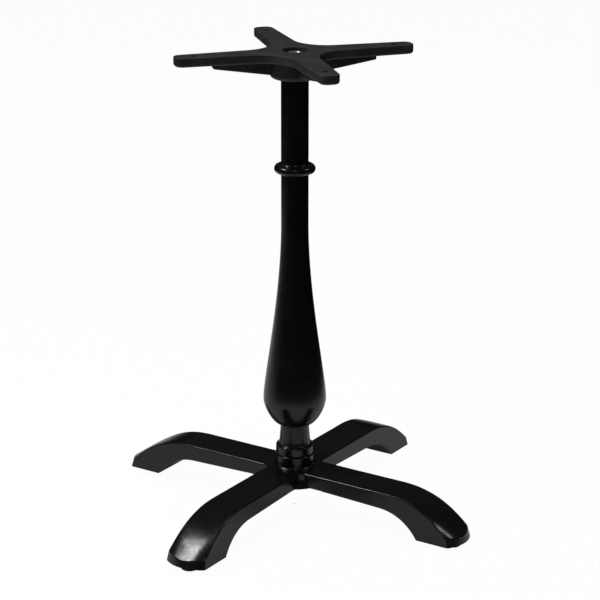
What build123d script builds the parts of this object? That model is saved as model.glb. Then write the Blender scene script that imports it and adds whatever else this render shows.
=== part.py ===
from build123d import *
import os
from math import atan, degrees, radians, sin, sqrt, tan

# A cast-iron pedestal table base: a four-legged foot casting, a turned baluster column and a four-armed
# top spider, pulled together by one tie rod. Millimetres and degrees, +Z up, origin on the floor under the
# column, legs along +X, -Y, -X and +Y.

# Foot casting, heights from the underside of a foot and reaches from the column's axis
leg_count = 4
leg_height = 60.7
leg_depth = 21.2
leg_deepening = 3.4
leg_top_width = 59.0
leg_foot_width = 70.0
leg_edge_radius = 2.0
leg_corner_radius = 4.0
toe_reach = 309.0
bend_run = 124.0
bend_radius = 158.0
toe_slope = 35.0
toe_crown = 12.0
toe_plan_radius = 55.0
toe_corner_radius = 3.5
toe_lean = 16.0
foot_length = 67.0
arch_run = 67.0
skirt_radius = 58.0
skirt_top_radius = 36.0
boss_radius = 30.0
boss_height = 19.2
boss_edge_radius = 2.0
boss_foot_radius = 5.0
casting_wall = 7.0
leg_hollow_start = 46.0
leg_hollow_corner = 8.0
stations_before_bend = 4
stations_after_bend = 6
crown_degree = 4
crown_growth = 3

# Levelling glides, one screwed up into each foot
glide_setback = 23.0
glide_pad_radius = 13.0
glide_pad_height = 9.0
glide_pad_edge = 1.5
glide_hex_across_flats = 17.0
glide_hex_height = 2.5
glide_stud_radius = 4.0
glide_stud_length = 20.0
glide_stud_root = 3.0
glide_stud_chamfer = 0.8
glide_boss_radius = 11.0
glide_hole_spare = 1.5

# Column, heights from its own seat on the foot casting's boss
column_length = 609.0
column_wall = 7.0
foot_bead_radius = 29.5
foot_bead_height = 16.0
foot_bead_edge = 3.0
foot_bead_shoulder_radius = 25.0
neck_start_height = 22.0
neck_start_radius = 24.0
neck_end_height = 49.0
neck_end_radius = 22.0
neck_cove_radius = 1.5
bulb_height = 91.6
bulb_radius = 49.0
bulb_under_spread = 14.8
bulb_under_rise = 2.4
bulb_under_handle_length = 12.1
bulb_over_handle_length = 35.0
taper_handle_length = 119.0
shaft_start_height = 376.7
shaft_radius = 20.9
ring_height = 461.3
ring_radius = 31.5
ring_tube_radius = 6.6
ring_cove_radius = 4.0
ring_under_radius = 1.0
spigot_radius = 18.0
spigot_height = 8.0

# Top spider, depths from its top plane
spider_turn = 49.4
arm_reach = 184.6
arm_root_width = 44.0
arm_tip_width = 29.5
arm_tip_corner = 12.0
arm_web_radius = 52.0
arm_thickness = 14.0
arm_top_edge_radius = 1.0
arm_under_edge_radius = 4.0
hub_radius = 37.8
hub_height = 41.7
hub_edge_radius = 7.0
socket_depth = 8.0
rib_width = 11.0
rib_reach = 126.0
rib_root_depth = 35.3
rib_tip_depth = 21.3
rib_edge_radius = 2.5
nut_recess_radius = 19.3
nut_recess_depth = 19.7
screw_hole_reach = 155.0
screw_hole_radius = 4.0

# Tie rod with a washer and a hexagon nut at each end
hexagon_side_count = 6
rod_radius = 8.0
rod_chamfer = 1.5
rod_top_recess = 1.5
rod_bottom_reach = 6.0
nut_across_flats = 24.0
nut_height = 13.0
nut_chamfer_angle = 30.0
nut_turn = 33.0
washer_radius = 15.0
washer_height = 3.0

# Clearances
thread_clearance = 0.05
rod_hole_clearance = 0.8
spigot_clearance = 0.2
spigot_end_clearance = 0.5
washer_clearance = 0.5
socket_clearance = 0.2

# How far a trimming shape runs past what it trims
overcut = 5.0

# A face of the legs whose normal rises by more than this belongs to their tops
steepest_top = 0.5

# Placing of boxes and cones: standing on their origin, or also reaching outward from it
standing = (Align.CENTER, Align.CENTER, Align.MIN)
outward = (Align.MIN, Align.CENTER, Align.MIN)

# Reaches that follow from the sizes above
bend_reach = toe_reach - bend_run
heel_reach = toe_reach - foot_length
arch_reach = heel_reach - arch_run
glide_reach = toe_reach - glide_setback

# Heights above the floor that follow from the sizes above
foot_z = glide_pad_height
leg_top_z = foot_z + leg_height
leg_under_z = leg_top_z - leg_depth
boss_top_z = leg_top_z + boss_height
column_top_z = boss_top_z + column_length
hub_under_z = column_top_z - socket_depth
top_z = hub_under_z + hub_height
recess_z = top_z - nut_recess_depth
upper_nut_z = recess_z + washer_height
rod_top_z = upper_nut_z + nut_height - rod_top_recess
lower_nut_z = leg_under_z - washer_height - nut_height
rod_bottom_z = lower_nut_z - rod_bottom_reach
rod_hole_radius = rod_radius + rod_hole_clearance


def cylinder(radius, bottom, top, x=0.0):
    """A vertical cylinder between two heights."""
    return Pos(x, 0, bottom) * extrude(Circle(radius), top - bottom)


def around(solid):
    """One copy of a solid for each leg or arm, spaced evenly about the column's axis."""
    return [Rot(0, 0, 360.0 / leg_count * k) * solid for k in range(leg_count)]


def across(outline, half_width):
    """An outline in reach and height, made as wide as given on both sides of its leg or arm."""
    return extrude(Plane.XZ * make_face(outline), half_width, both=True)


def rounded(section, corners):
    """A section with some of its corners rounded, each given as reach, height and radius."""
    for reach, height, radius in corners:
        section = fillet(section.vertices().sort_by_distance((reach, height, 0))[0], radius)
    return section


def turned(section):
    """A section in reach and height, revolved about the column's axis."""
    return revolve(Plane.XZ * section, Axis.Z)


def bend_height(reach):
    """Height on the leg's centre line: level, then an arc, then the straight slope of the toe."""
    past_bend = max(reach - bend_reach, 0.0)
    on_arc = min(past_bend, bend_radius * sin(radians(toe_slope)))
    on_slope = past_bend - on_arc
    return leg_top_z - bend_radius + sqrt(bend_radius**2 - on_arc**2) - on_slope * tan(radians(toe_slope))


def crown_section(reach, half_width):
    """Cross-section of a leg's top: flat in the middle, with shoulders that fall more towards the toe."""
    share = max(reach - bend_reach, 0.0) / bend_run
    fall = toe_crown * share**crown_growth * (2 * half_width / leg_foot_width) ** crown_degree
    middle = bend_height(reach)
    side = middle - fall
    low = -2 * leg_height
    steps = range(crown_degree + 1)
    top = Bezier(*[(half_width * (2 * k / crown_degree - 1), middle - fall * (-1) ** k) for k in steps])
    walls = Polyline((half_width, side), (half_width, low), (-half_width, low), (-half_width, side))
    plane = Plane(origin=(reach, 0, 0), x_dir=(0, 1, 0), z_dir=(1, 0, 0))
    return plane * make_face([top, walls])


def under_tops():
    """All that lies below the tops of the legs: a level middle, and a domed bend on every leg."""
    half_width = leg_foot_width / 2 + overcut
    spacing = bend_run / (stations_after_bend - 1)
    stations = [bend_reach + spacing * k for k in range(-stations_before_bend, stations_after_bend)]
    stations.append(toe_reach + overcut)
    domed = loft([crown_section(reach, half_width) for reach in stations])
    level = Box(2 * stations[0], 2 * stations[0], leg_top_z, align=standing)
    return level + around(domed)


def drafted(plan):
    """A plan at floor level, drawn up to the tops of the legs with the draft of the legs' sides."""
    draft = degrees(atan((leg_foot_width - leg_top_width) / 2 / leg_height))
    return Pos(0, 0, foot_z) * extrude(plan, leg_height + overcut, taper=draft)


def toe_front():
    """The space in front of a toe, whose end bows in plan and leans back."""
    height = leg_height + overcut
    lean = height * tan(radians(toe_lean))
    bow = Cone(toe_plan_radius, toe_plan_radius - lean, height, align=standing)
    depth = toe_plan_radius + 2 * overcut
    ahead = Box(depth, 2 * leg_foot_width, height, align=outward)
    return Pos(toe_reach - toe_plan_radius, 0, foot_z) * (ahead - bow)


def legs_outside(tops):
    """The four legs' drafted sides and domed tops, with rounded toes and rims."""
    bar = Rectangle(2 * (toe_reach + overcut), leg_foot_width)
    plan = bar + Rot(0, 0, 90) * bar
    plan = fillet(plan.vertices().sort_by_distance((0, 0, 0))[:leg_count], leg_corner_radius)
    legs = drafted(plan) - around(toe_front())
    upright = [edge for edge in legs.edges() if edge.bounding_box().size.Z > leg_height]
    corners = [edge for edge in upright if edge.center().length > heel_reach]
    legs = fillet(corners, toe_corner_radius) & tops
    upper = [face for face in legs.faces() if face.normal_at().Z > steepest_top]
    rims = [edge for edge in legs.edges() if sum(edge in face.edges() for face in upper) == 1]
    return fillet(rims, leg_edge_radius)


def leg_arch():
    """The space under a leg, from the column's axis to the foot's heel."""
    low = foot_z - leg_height
    inner_end = -leg_foot_width
    arch_z = leg_under_z - leg_deepening
    under = Polyline(
        (inner_end, low),
        (inner_end, leg_under_z),
        (skirt_radius, leg_under_z),
        (arch_reach, arch_z),
    )
    arch = TangentArc((arch_reach, arch_z), (heel_reach, foot_z), tangent=under % 1)
    heel = Polyline((heel_reach, foot_z), (heel_reach, low), (inner_end, low))
    return across([under, arch, heel], leg_foot_width)


def leg_hollow(tops):
    """The pockets in a leg's bar and foot, one wall inside its sides and top, with a boss for the glide."""
    half = leg_foot_width / 2 - casting_wall
    toe_end = toe_reach - casting_wall
    bow_radius = toe_plan_radius - casting_wall
    toe_side = toe_end - bow_radius + sqrt(bow_radius**2 - half**2)
    start = leg_hollow_start
    sides = Polyline((toe_side, half), (start, half), (start, -half), (toe_side, -half))
    toe = ThreePointArc((toe_side, -half), (toe_end, 0), (toe_side, half))
    plan = fillet(make_face([sides, toe]).vertices(), leg_hollow_corner)
    inside = drafted(plan) & Pos(0, 0, -casting_wall) * tops
    block_start = arch_reach - casting_wall
    block_length = heel_reach + casting_wall - block_start
    block = Box(block_length, leg_foot_width, leg_top_z, align=outward)
    glide_boss = cylinder(glide_boss_radius, foot_z, leg_top_z, glide_reach)
    return inside - Pos(block_start, 0, 0) * block - glide_boss


def central_boss():
    """The round boss under the column, with a coved foot and a skirt that flares out between the legs."""
    outline = Polyline(
        (0, leg_under_z),
        (skirt_radius, leg_under_z),
        (skirt_top_radius, leg_top_z),
        (boss_radius, leg_top_z),
        (boss_radius, boss_top_z),
        (0, boss_top_z),
        close=True,
    )
    cove = (boss_radius, leg_top_z, boss_foot_radius)
    rim = (boss_radius, boss_top_z, boss_edge_radius)
    return turned(rounded(make_face(outline), [cove, rim]))


def base_casting():
    """Four hollow legs and the central boss, bored for the tie rod, the column's spigot and the glides."""
    tops = under_tops()
    glide_hole_top = glide_stud_root + glide_stud_length + glide_hole_spare
    glide_hole = cylinder(glide_stud_radius + thread_clearance, foot_z, glide_hole_top, glide_reach)
    casting = legs_outside(tops) - around(leg_arch()) - around(leg_hollow(tops)) - around(glide_hole)
    casting += central_boss()
    casting -= cylinder(rod_hole_radius, leg_under_z, boss_top_z)
    spigot_floor = boss_top_z - spigot_height - spigot_end_clearance
    return casting - cylinder(spigot_radius + spigot_clearance, spigot_floor, boss_top_z)


def bulb(inset):
    """The bulb from the neck to its widest place and on up to the shaft, at an inset from its surface."""
    low = (neck_end_radius - inset, neck_end_height + inset)
    low_handle = (low[0] + bulb_under_spread, low[1] + bulb_under_rise)
    wide = bulb_radius - inset
    slim = shaft_radius - inset
    under = Bezier(low, low_handle, (wide, bulb_height - bulb_under_handle_length), (wide, bulb_height))
    over = Bezier(
        (wide, bulb_height),
        (wide, bulb_height + bulb_over_handle_length),
        (slim, shaft_start_height - taper_handle_length),
        (slim, shaft_start_height),
    )
    return [under, over]


def column():
    """The turned baluster column, cast hollow, with a spigot that locates it in the foot casting."""
    ring_reach = ring_radius - ring_tube_radius
    ring_half = sqrt(ring_tube_radius**2 - (ring_reach - shaft_radius) ** 2)
    ring_low, ring_high = ring_height - ring_half, ring_height + ring_half
    core_radius = spigot_radius - column_wall
    bore_radius = shaft_radius - column_wall
    core = bulb(column_wall)
    outline = [
        Polyline(
            core[0] @ 0,
            (core_radius, neck_start_height),
            (core_radius, -spigot_height),
            (spigot_radius, -spigot_height),
            (spigot_radius, 0),
            (foot_bead_radius, 0),
            (foot_bead_radius, foot_bead_height),
            (foot_bead_shoulder_radius, foot_bead_height),
            (neck_start_radius, neck_start_height),
            (neck_end_radius, neck_end_height),
        ),
        *bulb(0.0),
        Line((shaft_radius, shaft_start_height), (shaft_radius, ring_low)),
        ThreePointArc((shaft_radius, ring_low), (ring_radius, ring_height), (shaft_radius, ring_high)),
        Polyline(
            (shaft_radius, ring_high),
            (shaft_radius, column_length),
            (bore_radius, column_length),
            (bore_radius, shaft_start_height),
        ),
        *core,
    ]
    corners = [
        (foot_bead_radius, 0, foot_bead_edge),
        (foot_bead_radius, foot_bead_height, foot_bead_edge),
        (foot_bead_shoulder_radius, foot_bead_height, neck_cove_radius),
        (neck_start_radius, neck_start_height, neck_cove_radius),
        (shaft_radius, ring_low, ring_under_radius),
        (shaft_radius, ring_high, ring_cove_radius),
    ]
    return Pos(0, 0, boss_top_z) * turned(rounded(make_face(outline), corners))


def spider_plate():
    """The four flat arms, tapered to rounded tips and joined by wide webs."""
    root, tip = arm_root_width / 2, arm_tip_width / 2
    arm = make_face(Polyline((0, root), (arm_reach, tip), (arm_reach, -tip), (0, -root), close=True))
    plan = Sketch() + around(arm)
    plan = fillet(plan.vertices().sort_by_distance((0, 0, 0))[:leg_count], arm_web_radius)
    plan = fillet(plan.vertices().sort_by_distance((0, 0, 0))[-2 * leg_count :], arm_tip_corner)
    plate = Pos(0, 0, top_z - arm_thickness) * extrude(plan, arm_thickness)
    plate = fillet(plate.faces().sort_by(Axis.Z)[0].edges(), arm_under_edge_radius)
    return fillet(plate.faces().sort_by(Axis.Z)[-1].edges(), arm_top_edge_radius)


def spider_rib():
    """The rib under an arm, deepest at the hub and cut off blunt before the screw hole."""
    plate_under = top_z - arm_thickness
    outline = Polyline(
        (nut_recess_radius, plate_under),
        (rib_reach, plate_under),
        (rib_reach, top_z - rib_tip_depth),
        (hub_radius, top_z - rib_root_depth),
        (nut_recess_radius, top_z - rib_root_depth),
        close=True,
    )
    rib = across(outline, rib_width / 2)
    highest = top_z - rib_tip_depth + rib_edge_radius
    low = [edge for edge in rib.edges() if edge.center().X > hub_radius and edge.center().Z < highest]
    return fillet(low, rib_edge_radius)


def top_spider():
    """The spider under the table top, socketed on the column, with a recess for the tie rod's nut."""
    hub = cylinder(hub_radius, hub_under_z, top_z - arm_thickness)
    hub = fillet(hub.faces().sort_by(Axis.Z)[0].edges(), hub_edge_radius)
    spider = spider_plate() + hub + around(spider_rib())
    spider -= cylinder(nut_recess_radius, recess_z, top_z)
    spider -= cylinder(rod_hole_radius, hub_under_z, recess_z)
    spider -= cylinder(shaft_radius + socket_clearance, hub_under_z, column_top_z)
    hole = cylinder(screw_hole_radius, top_z - arm_thickness, top_z, screw_hole_reach)
    return Rot(0, 0, spider_turn) * (spider - around(hole))


def tie_rod():
    """The rod through the column, chamfered at both ends."""
    rod = cylinder(rod_radius, rod_bottom_z, rod_top_z)
    return chamfer(rod.edges().filter_by(GeomType.CIRCLE), rod_chamfer)


def nut(bottom):
    """A hexagon nut with its corners turned off top and bottom and its bore countersunk."""
    half = nut_across_flats / 2
    blank = extrude(RegularPolygon(half, hexagon_side_count, major_radius=False), nut_height)
    corner = blank.bounding_box().max.X
    bevel = (corner - half) * tan(radians(nut_chamfer_angle))
    envelope = Polyline(
        (0, 0),
        (half, 0),
        (corner, bevel),
        (corner, nut_height - bevel),
        (half, nut_height),
        (0, nut_height),
        close=True,
    )
    blank &= turned(make_face(envelope))
    blank -= cylinder(rod_radius + thread_clearance, 0, nut_height)
    lower_mouth, upper_mouth = blank.edges().filter_by(GeomType.CIRCLE).sort_by(SortBy.RADIUS)[:2]
    return Pos(0, 0, bottom) * Rot(0, 0, nut_turn) * chamfer([lower_mouth, upper_mouth], bevel)


def washer(bottom):
    """A flat washer on the tie rod."""
    ring = cylinder(washer_radius, bottom, bottom + washer_height)
    return ring - cylinder(rod_radius + washer_clearance, bottom, bottom + washer_height)


def glide_pad():
    """A moulded foot pad with a hexagon to turn it by and a blind hole for its stud."""
    disc = cylinder(glide_pad_radius, 0, glide_pad_height - glide_hex_height, glide_reach)
    disc = fillet(disc.edges().filter_by(GeomType.CIRCLE), glide_pad_edge)
    hexagon = RegularPolygon(glide_hex_across_flats / 2, hexagon_side_count, major_radius=False)
    pad = disc + Pos(glide_reach, 0, glide_stud_root) * extrude(hexagon, glide_pad_height - glide_stud_root)
    hole = cylinder(glide_stud_radius + thread_clearance, glide_stud_root, glide_pad_height, glide_reach)
    return pad - hole


def glide_stud():
    """The threaded stud of a levelling glide."""
    stud = cylinder(glide_stud_radius, glide_stud_root, glide_stud_root + glide_stud_length, glide_reach)
    return chamfer(stud.edges().filter_by(GeomType.CIRCLE).sort_by(Axis.Z)[-1], glide_stud_chamfer)


nodes = {
    "base_casting": base_casting(),
    "column": column(),
    "top_spider": top_spider(),
    "tie_rod": tie_rod(),
    "upper_washer": washer(recess_z),
    "upper_nut": nut(upper_nut_z),
    "lower_washer": washer(leg_under_z - washer_height),
    "lower_nut": nut(lower_nut_z),
}
for side, pad, stud in zip(("right", "back", "left", "front"), around(glide_pad()), around(glide_stud())):
    nodes[f"glide_pad_{side}"] = pad
    nodes[f"glide_stud_{side}"] = stud

os.makedirs("parts", exist_ok=True)
for name, solid in nodes.items():
    export_step(solid, f"parts/{name}.step")
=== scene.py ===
from math import cos, pi, radians, sin, tau

import bpy
from mathutils import Euler, Matrix, Vector


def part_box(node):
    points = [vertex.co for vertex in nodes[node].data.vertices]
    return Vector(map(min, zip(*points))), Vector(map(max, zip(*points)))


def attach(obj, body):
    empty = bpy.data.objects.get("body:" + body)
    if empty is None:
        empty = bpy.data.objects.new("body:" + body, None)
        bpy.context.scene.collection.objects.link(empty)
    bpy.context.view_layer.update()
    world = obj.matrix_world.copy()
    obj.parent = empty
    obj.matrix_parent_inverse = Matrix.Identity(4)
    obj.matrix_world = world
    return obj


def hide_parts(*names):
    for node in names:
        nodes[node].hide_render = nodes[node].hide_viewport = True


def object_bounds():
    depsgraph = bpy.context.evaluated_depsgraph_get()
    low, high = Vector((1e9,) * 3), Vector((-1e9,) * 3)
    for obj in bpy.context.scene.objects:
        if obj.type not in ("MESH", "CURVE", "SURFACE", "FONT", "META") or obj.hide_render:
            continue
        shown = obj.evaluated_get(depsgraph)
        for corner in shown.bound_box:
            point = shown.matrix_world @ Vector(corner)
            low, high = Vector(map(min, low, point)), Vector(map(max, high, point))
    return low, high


# A black cast-iron pedestal table base on a pale studio floor. Metres, +Z up, the same frame as the solids.

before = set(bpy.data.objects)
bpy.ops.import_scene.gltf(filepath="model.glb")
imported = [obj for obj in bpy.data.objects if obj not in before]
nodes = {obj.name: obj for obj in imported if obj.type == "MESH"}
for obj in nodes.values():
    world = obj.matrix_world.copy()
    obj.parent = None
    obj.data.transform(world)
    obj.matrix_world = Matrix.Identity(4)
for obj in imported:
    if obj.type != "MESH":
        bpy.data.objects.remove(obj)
cad_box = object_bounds()
part_middle = (Vector(cad_box[0]) + Vector(cad_box[1])) / 2
sides = ("right", "back", "left", "front")

# Camera, set where the photograph was taken from
camera_place = Vector((1.7736, -2.7289, 1.4133))
camera_azimuth = radians(32.88)
camera_pitch = radians(18.245)
camera_roll = 0.0011
sensor_width = 36.0
focal_length = 133.45

# Lamps: direction from the middle of the part, width, power, and whether the paint mirrors the lamp
lamp_distance = 3.0
lamps = {
    "key_lamp": (Vector((-0.52, -0.36, 0.775)), 0.45, 42.0, True),
    "edge_lamp": (Vector((0.42, -0.55, 0.72)), 0.6, 3.5, True),
    "side_lamp": (Vector((0.59, 0.38, 0.71)), 0.5, 5.0, True),
    "top_lamp": (Vector((-0.17, 0.26, 0.95)), 1.2, 8.0, True),
    "overhead_fill": (Vector((0.0, 0.0, 1.0)), 2.4, 50.0, False),
    "front_fill": (Vector((-0.3, -0.9, 0.3)), 2.0, 18.0, False),
}

# White floor that curves up into a low wall
floor_start_radius = 0.001
floor_radius = 14.0
cove_radius = 1.0
cove_steps = 8
wall_height = 3.4
sweep_segments = 96
floor_white = 0.92

# How much of the floor's white is glow, and the painted shade that dims that glow in reflections, most of all
# close to the part
floor_glow_share = 0.97
painted_reflection_shade = 0.55
painted_shade_reach = 0.25
painted_shade_samples = 4

# Dark card over the floor and wall, seen in reflections alone, so painted shade in them, with an opening near
# the part on one side
card_inner_radius = 0.75
card_gap = 0.001
painted_shade_black = 0.004
card_open_side = (-0.98, 0.2, 0.0)
card_open_start = 0.3
card_open_full = 0.95
card_open_near = 1.3
card_open_far = 1.75

# Dim room above the wall
room_grey = (0.03, 0.03, 0.034, 1.0)

# Threads, each for some length from both ends of its rod
rod_pitch = 0.002
rod_chamfer = 0.0015
stud_pitch = 0.00125
stud_chamfer = 0.0008
thread_length = 0.045
thread_depth_share = 0.6
rows_per_turn = 8
thread_facets = 40

# The part of noise's range that colours and roughness are spread over
noise_low = 0.3
noise_high = 0.7


def new_material(name):
    """A node material, its node tree and its principled shader."""
    material = bpy.data.materials.new(name)
    material.use_nodes = True
    tree = material.node_tree
    return material, tree, tree.nodes["Principled BSDF"]


def noise(tree, scale, detail):
    """A noise texture on the part's own coordinates, in features per metre."""
    place = tree.nodes.new("ShaderNodeTexCoord")
    texture = tree.nodes.new("ShaderNodeTexNoise")
    texture.inputs["Scale"].default_value = scale
    texture.inputs["Detail"].default_value = detail
    tree.links.new(place.outputs["Object"], texture.inputs["Vector"])
    return texture.outputs["Fac"]


def spread(tree, value, low, high, start=noise_low, end=noise_high):
    """A value mapped from one range, by default that of noise, to another."""
    mapping = tree.nodes.new("ShaderNodeMapRange")
    mapping.inputs["From Min"].default_value = start
    mapping.inputs["From Max"].default_value = end
    mapping.inputs["To Min"].default_value = low
    mapping.inputs["To Max"].default_value = high
    tree.links.new(value, mapping.inputs["Value"])
    return mapping.outputs["Result"]


def mixed(tree, value, low, high):
    """A noise value mapped to a range of colours."""
    ramp = tree.nodes.new("ShaderNodeValToRGB")
    ramp.color_ramp.elements[0].position = noise_low
    ramp.color_ramp.elements[1].position = noise_high
    ramp.color_ramp.elements[0].color = (*low, 1.0)
    ramp.color_ramp.elements[1].color = (*high, 1.0)
    tree.links.new(value, ramp.inputs["Fac"])
    return ramp.outputs["Color"]


def clouded_finish(name, colours, colour_noise, roughness, roughness_noise, bumps, metallic=0.0):
    """A finish with colour and roughness clouded by noise, given as scale and detail, and with bumps of
    noise, given as scale, detail and height."""
    material, tree, shader = new_material(name)
    shader.inputs["Metallic"].default_value = metallic
    tree.links.new(mixed(tree, noise(tree, *colour_noise), *colours), shader.inputs["Base Color"])
    tree.links.new(spread(tree, noise(tree, *roughness_noise), *roughness), shader.inputs["Roughness"])
    normal = None
    for scale, detail, height in bumps:
        bump = tree.nodes.new("ShaderNodeBump")
        bump.inputs["Distance"].default_value = height
        tree.links.new(noise(tree, scale, detail), bump.inputs["Height"])
        if normal:
            tree.links.new(normal, bump.inputs["Normal"])
        normal = bump.outputs["Normal"]
    tree.links.new(normal, shader.inputs["Normal"])
    return material


def paint(node, material):
    """Puts a material in every slot of a solid's object."""
    for material_slot in nodes[node].material_slots:
        material_slot.material = material


def mesh_object(name, vertices, faces, material):
    """A new smooth-shaded object from its vertices and faces."""
    mesh = bpy.data.meshes.new(name)
    mesh.from_pydata(vertices, [], faces)
    mesh.shade_smooth()
    mesh.materials.append(material)
    thing = bpy.data.objects.new(name, mesh)
    bpy.context.scene.collection.objects.link(thing)
    return thing


def ring_faces(row_count, segments):
    """Faces between rows of vertices, each row a closed ring of the same number of them."""
    faces = []
    for row in range(row_count - 1):
        low = row * segments
        high = low + segments
        for k in range(segments):
            after = (k + 1) % segments
            faces.append((low + k, low + after, high + after, high + k))
    return faces


def lathe(profile, segments):
    """Vertices and faces of a profile of radius and height, turned about the vertical axis."""
    turns = [tau * k / segments for k in range(segments)]
    vertices = [(radius * cos(a), radius * sin(a), height) for radius, height in profile for a in turns]
    return vertices, ring_faces(len(profile), segments)


def threaded_rod(node, body, pitch, chamfer, material):
    """A rod in the place of a solid one, with a helical thread for some length from each end."""
    low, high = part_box(node)
    middle = (low + high) / 2
    radius = (high.x - low.x) / 2
    length = high.z - low.z
    step = pitch / rows_per_turn
    rows = [step * k for k in range(round(length / step) + 1)]
    rows = [row for row in rows if min(row, length - row) <= thread_length]
    vertices = []
    for row in rows:
        cut = max(chamfer - min(row, length - row), 0.0)
        for k in range(thread_facets):
            turn = k / thread_facets
            phase = (row / pitch - turn) % 1.0
            groove = pitch * thread_depth_share * (1.0 - abs(2.0 * phase - 1.0))
            reach = radius - max(groove, cut)
            x = middle.x + reach * cos(tau * turn)
            y = middle.y + reach * sin(tau * turn)
            vertices.append((x, y, low.z + row))
    faces = ring_faces(len(rows), thread_facets)
    last = (len(rows) - 1) * thread_facets
    faces.append(tuple(reversed(range(thread_facets))))
    faces.append(tuple(range(last, last + thread_facets)))
    rod = mesh_object(f"threaded_{node}", vertices, faces, material)
    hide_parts(node)
    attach(rod, body)


def arithmetic(tree, operation, first, second):
    """A math node on an output and on another output or a number."""
    node = tree.nodes.new("ShaderNodeMath")
    node.operation = operation
    tree.links.new(first, node.inputs[0])
    if isinstance(second, float):
        node.inputs[1].default_value = second
    else:
        tree.links.new(second, node.inputs[1])
    return node.outputs["Value"]


def white_set():
    """The white of the floor and wall, with painted shade that dims it in reflections, most of all close to
    the part, and with the part's real shadow kept.
    """
    material = bpy.data.materials.new("studio_white")
    material.use_nodes = True
    tree = material.node_tree
    tree.nodes.clear()
    output = tree.nodes.new("ShaderNodeOutputMaterial")
    blend = tree.nodes.new("ShaderNodeMixShader")
    diffuse = tree.nodes.new("ShaderNodeBsdfDiffuse")
    glow = tree.nodes.new("ShaderNodeEmission")
    path = tree.nodes.new("ShaderNodeLightPath")
    painted_contact_shade = tree.nodes.new("ShaderNodeAmbientOcclusion")
    diffuse.inputs["Color"].default_value = (floor_white, floor_white, floor_white, 1.0)
    painted_contact_shade.inputs["Distance"].default_value = painted_shade_reach
    painted_contact_shade.samples = painted_shade_samples
    straight = path.outputs["Is Camera Ray"]
    seen = arithmetic(tree, "MAXIMUM", straight, path.outputs["Is Glossy Ray"])
    seen = arithmetic(tree, "MAXIMUM", seen, path.outputs["Is Transmission Ray"])
    # Painted shade: the floor seen in reflections glows dimmer, and darker still close to the part
    shaded_reflection = arithmetic(tree, "MULTIPLY", painted_contact_shade.outputs["AO"], painted_reflection_shade)
    tree.links.new(arithmetic(tree, "MAXIMUM", straight, shaded_reflection), glow.inputs["Strength"])
    tree.links.new(arithmetic(tree, "MULTIPLY", seen, floor_glow_share), blend.inputs["Fac"])
    tree.links.new(diffuse.outputs["BSDF"], blend.inputs[1])
    tree.links.new(glow.outputs["Emission"], blend.inputs[2])
    tree.links.new(blend.outputs["Shader"], output.inputs["Surface"])
    return material


def dark_card():
    """The black of the card that paints shade into reflections of the set, which fades out towards its
    opening.
    """
    material, tree, shader = new_material("painted_shade_card")
    # Painted shade: a black surface that only reflections see
    shader.inputs["Base Color"].default_value = (painted_shade_black, painted_shade_black, painted_shade_black, 1.0)
    shader.inputs["Roughness"].default_value = 1.0
    shader.inputs["Specular IOR Level"].default_value = 0.0
    place = tree.nodes.new("ShaderNodeTexCoord")
    heading = tree.nodes.new("ShaderNodeVectorMath")
    heading.operation = "NORMALIZE"
    along = tree.nodes.new("ShaderNodeVectorMath")
    along.operation = "DOT_PRODUCT"
    along.inputs[1].default_value = card_open_side
    distance = tree.nodes.new("ShaderNodeVectorMath")
    distance.operation = "LENGTH"
    clear = tree.nodes.new("ShaderNodeBsdfTransparent")
    blend = tree.nodes.new("ShaderNodeMixShader")
    tree.links.new(place.outputs["Object"], heading.inputs[0])
    tree.links.new(heading.outputs["Vector"], along.inputs[0])
    tree.links.new(place.outputs["Object"], distance.inputs[0])
    sideways = spread(tree, along.outputs["Value"], 0.0, 1.0, card_open_start, card_open_full)
    inward = spread(tree, distance.outputs["Value"], 1.0, 0.0, card_open_near, card_open_far)
    tree.links.new(arithmetic(tree, "MULTIPLY", sideways, inward), blend.inputs["Fac"])
    tree.links.new(shader.outputs["BSDF"], blend.inputs[1])
    tree.links.new(clear.outputs["BSDF"], blend.inputs[2])
    tree.links.new(blend.outputs["Shader"], tree.nodes["Material Output"].inputs["Surface"])
    return material


def studio():
    """A round white floor that curves up into a low wall, and a dark card around the part that paints shade
    into reflections.
    """
    curve = [pi / 2 * k / cove_steps for k in range(cove_steps + 1)]
    profile = [(floor_start_radius, 0.0), (card_inner_radius, 0.0)]
    profile += [(floor_radius + cove_radius * sin(a), cove_radius * (1.0 - cos(a))) for a in curve]
    profile.append((floor_radius + cove_radius, wall_height))
    sweep = mesh_object("studio_sweep", *lathe(profile, sweep_segments), white_set())
    card_profile = [(card_inner_radius, card_gap), (floor_radius, card_gap), (floor_radius, wall_height)]
    card = mesh_object("painted_shade_card", *lathe(card_profile, sweep_segments), dark_card())
    # Seen by reflections alone, so the card is painted shade in them
    card.visible_camera = False
    card.visible_diffuse = False
    card.visible_shadow = False
    card.visible_transmission = False


def softbox(name, direction, width, power, mirrored):
    """A round area lamp that faces the middle of the part, with or without a reflection of its own."""
    lamp = bpy.data.lights.new(name, "AREA")
    lamp.shape = "DISK"
    lamp.size = width
    lamp.energy = power
    box = bpy.data.objects.new(name, lamp)
    box.location = part_middle + direction.normalized() * lamp_distance
    box.rotation_euler = direction.to_track_quat("Z", "Y").to_euler()
    box.visible_glossy = mirrored
    bpy.context.scene.collection.objects.link(box)


def dim_room():
    """A dim room around the set."""
    world = bpy.data.worlds.new("dim_room")
    world.use_nodes = True
    world.node_tree.nodes["Background"].inputs["Color"].default_value = room_grey
    bpy.context.scene.world = world


def photo_camera():
    """The camera at the photograph's place and angle."""
    lens = bpy.data.cameras.new("photo_camera")
    lens.sensor_width = sensor_width
    lens.lens = focal_length
    camera = bpy.data.objects.new("photo_camera", lens)
    turn = Euler((pi / 2 - camera_pitch, 0.0, camera_azimuth)).to_matrix().to_4x4()
    camera.matrix_world = Matrix.Translation(camera_place) @ turn @ Matrix.Rotation(camera_roll, 4, "Z")
    bpy.context.scene.collection.objects.link(camera)
    bpy.context.scene.camera = camera


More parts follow.
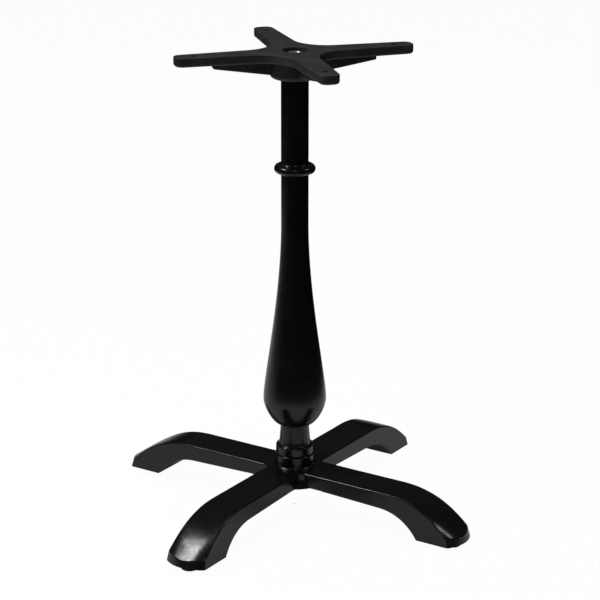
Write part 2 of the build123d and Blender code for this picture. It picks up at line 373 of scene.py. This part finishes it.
# Gloss black enamel over cast iron: orange peel, and the slow waves of the casting under it
gloss = clouded_finish(
    "gloss_black_paint",
    colours=((0.0022, 0.0022, 0.0028), (0.0045, 0.0045, 0.0054)),
    colour_noise=(14.0, 4.0),
    roughness=(0.2, 0.26),
    roughness_noise=(60.0, 3.0),
    bumps=[(420.0, 2.0, 0.00003), (45.0, 2.0, 0.0001)],
)

# Matte black coat on the spider, with the fine grain of powder
matte = clouded_finish(
    "matte_black_paint",
    colours=((0.0085, 0.0085, 0.0094), (0.02, 0.02, 0.021)),
    colour_noise=(30.0, 5.0),
    roughness=(0.5, 0.62),
    roughness_noise=(90.0, 3.0),
    bumps=[(900.0, 3.0, 0.00004), (60.0, 2.0, 0.0002)],
)

# Bright zinc plate, faintly clouded
zinc = clouded_finish(
    "zinc_steel",
    colours=((0.66, 0.67, 0.7), (0.82, 0.81, 0.78)),
    colour_noise=(160.0, 3.0),
    roughness=(0.26, 0.42),
    roughness_noise=(500.0, 2.0),
    bumps=[(1500.0, 2.0, 0.00002)],
    metallic=1.0,
)

# Oiled dark steel of the tie rod
steel = clouded_finish(
    "dark_steel",
    colours=((0.1, 0.095, 0.09), (0.2, 0.195, 0.19)),
    colour_noise=(120.0, 4.0),
    roughness=(0.35, 0.5),
    roughness_noise=(400.0, 2.0),
    bumps=[(1200.0, 2.0, 0.00003)],
    metallic=1.0,
)

# Moulded black plastic with a fine spark-eroded grain
plastic = clouded_finish(
    "black_plastic",
    colours=((0.012, 0.012, 0.012), (0.02, 0.02, 0.02)),
    colour_noise=(80.0, 2.0),
    roughness=(0.45, 0.58),
    roughness_noise=(300.0, 2.0),
    bumps=[(2500.0, 2.0, 0.00003)],
)

# Finishes of the solids, and threaded pieces in the place of the plain rod and studs
paint("base_casting", gloss)
paint("column", gloss)
paint("top_spider", matte)
for node in ("upper_nut", "upper_washer", "lower_nut", "lower_washer"):
    paint(node, zinc)
threaded_rod("tie_rod", "stand", rod_pitch, rod_chamfer, steel)
for side in sides:
    paint(f"glide_pad_{side}", plastic)
    threaded_rod(f"glide_stud_{side}", f"glide_{side}", stud_pitch, stud_chamfer, zinc)

# Stage, light and camera
studio()
for name, (direction, width, power, mirrored) in lamps.items():
    softbox(name, direction, width, power, mirrored)
dim_room()
photo_camera()
bpy.context.scene.view_settings.view_transform = "Standard"
